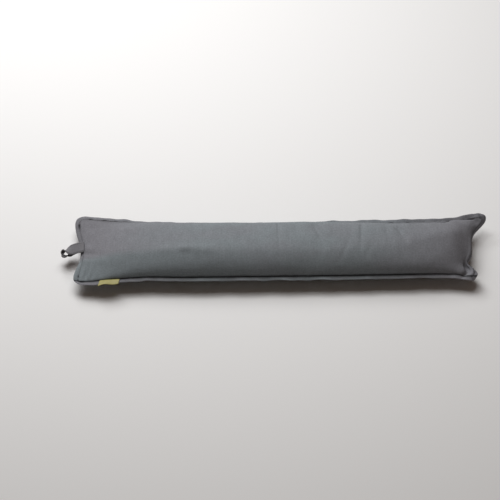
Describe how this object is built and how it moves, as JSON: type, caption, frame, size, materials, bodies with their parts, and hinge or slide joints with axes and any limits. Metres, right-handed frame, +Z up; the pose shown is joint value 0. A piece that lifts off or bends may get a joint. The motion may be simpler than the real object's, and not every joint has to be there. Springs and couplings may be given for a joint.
{
  "type": "draught excluder",
  "caption": "Long filled fabric cushion with a topstitched flange all round, a hanging loop at one end and a plain label in the side seam; lies along the foot of a door.",
  "frame": {"origin": "on the floor, below the middle of the object's outer box", "axes": "+X along the cushion towards its plump end, away from the hanging loop; +Y from the labelled front towards the back; +Z up"},
  "size_m": [0.9538, 0.1998, 0.0732],
  "materials": {
    "cover": "matt woven cotton, mid grey",
    "loop_strip": "matt woven cotton strip, mid grey",
    "label_satin": "soft straw-gold satin, blank"
  },
  "bodies": {
    "root": {"cushion": "cover", "hanging_loop": "loop_strip", "side_label": "label_satin"}
  },
  "joints": []
}
